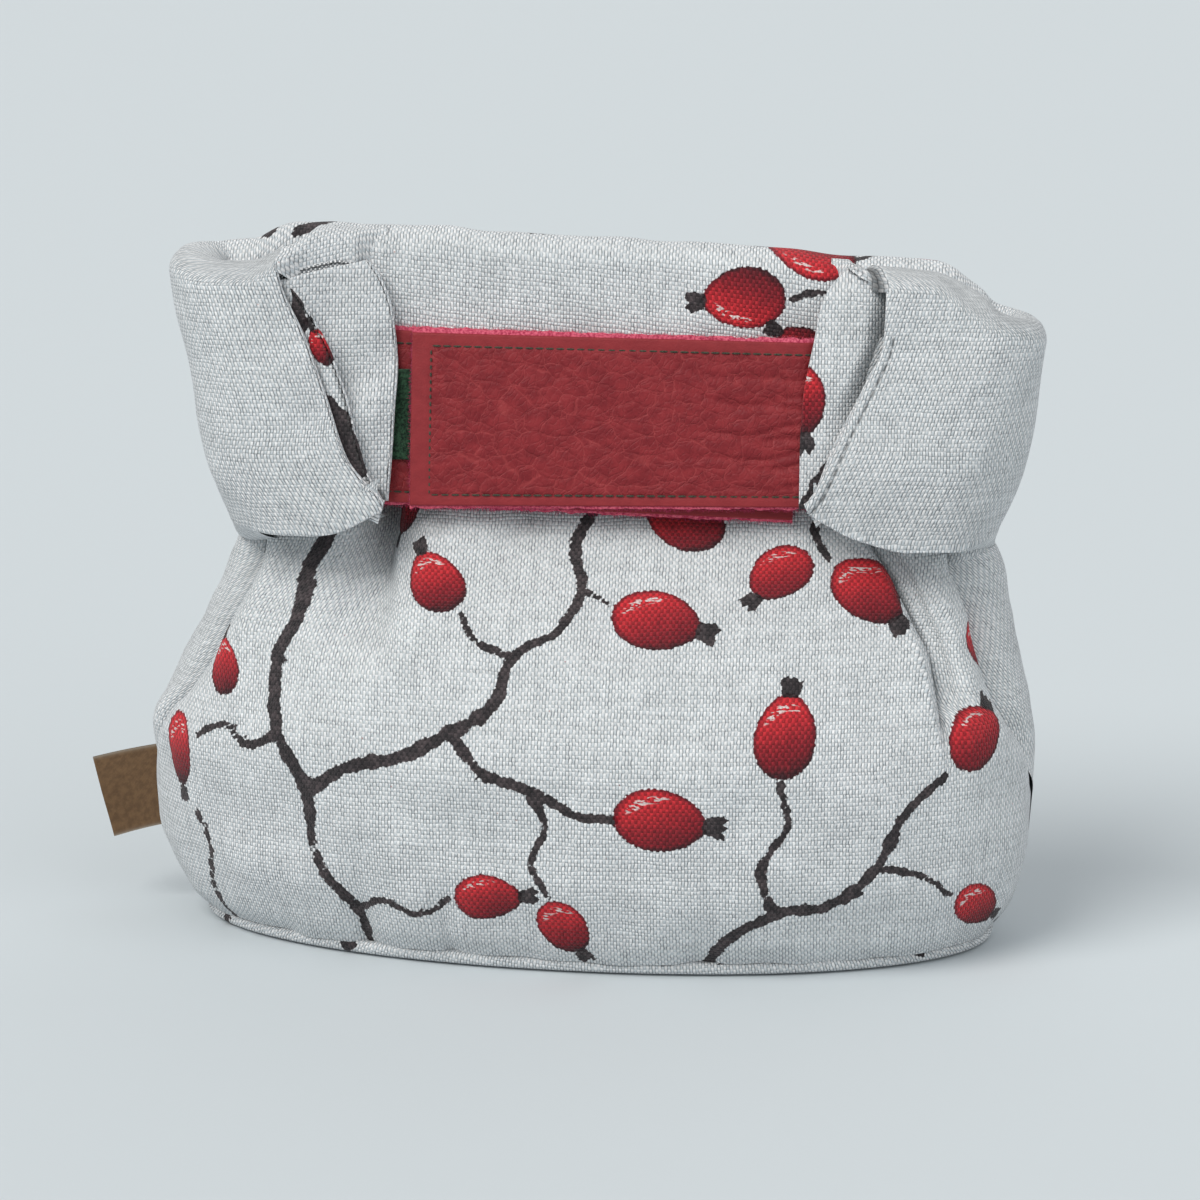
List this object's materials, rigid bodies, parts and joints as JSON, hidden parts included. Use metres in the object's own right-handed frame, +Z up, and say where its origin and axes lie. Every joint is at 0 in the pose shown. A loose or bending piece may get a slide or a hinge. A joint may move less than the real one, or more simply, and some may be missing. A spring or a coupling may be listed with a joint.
{
  "type": "linen bread bag",
  "caption": "Filled cloth bread bag on a flat oval base, mouth folded over and turned in at both ends, closed by two leather straps.",
  "frame": {"origin": "middle of the bag's box in plan, on the surface that its base stands on", "axes": "+Z up from the base, +X to the right along the folded mouth seen from the front, front with the straps towards -Y"},
  "size_m": [0.2882, 0.1352, 0.2124],
  "materials": {
    "canvas": "coarse woven linen, matt",
    "red_leather": "pebbled, satin",
    "green_tape": "looped pile, matt",
    "dark_tape": "hooked, matt",
    "brown_label": "woven, matt"
  },
  "bodies": {
    "root": {"back_panel": "canvas", "front_panel": "canvas", "base_panel": "canvas", "strap_left": "red_leather", "strap_right": "red_leather", "loop_tape": "green_tape", "hook_tape": "dark_tape", "label": "brown_label"}
  },
  "joints": []
}
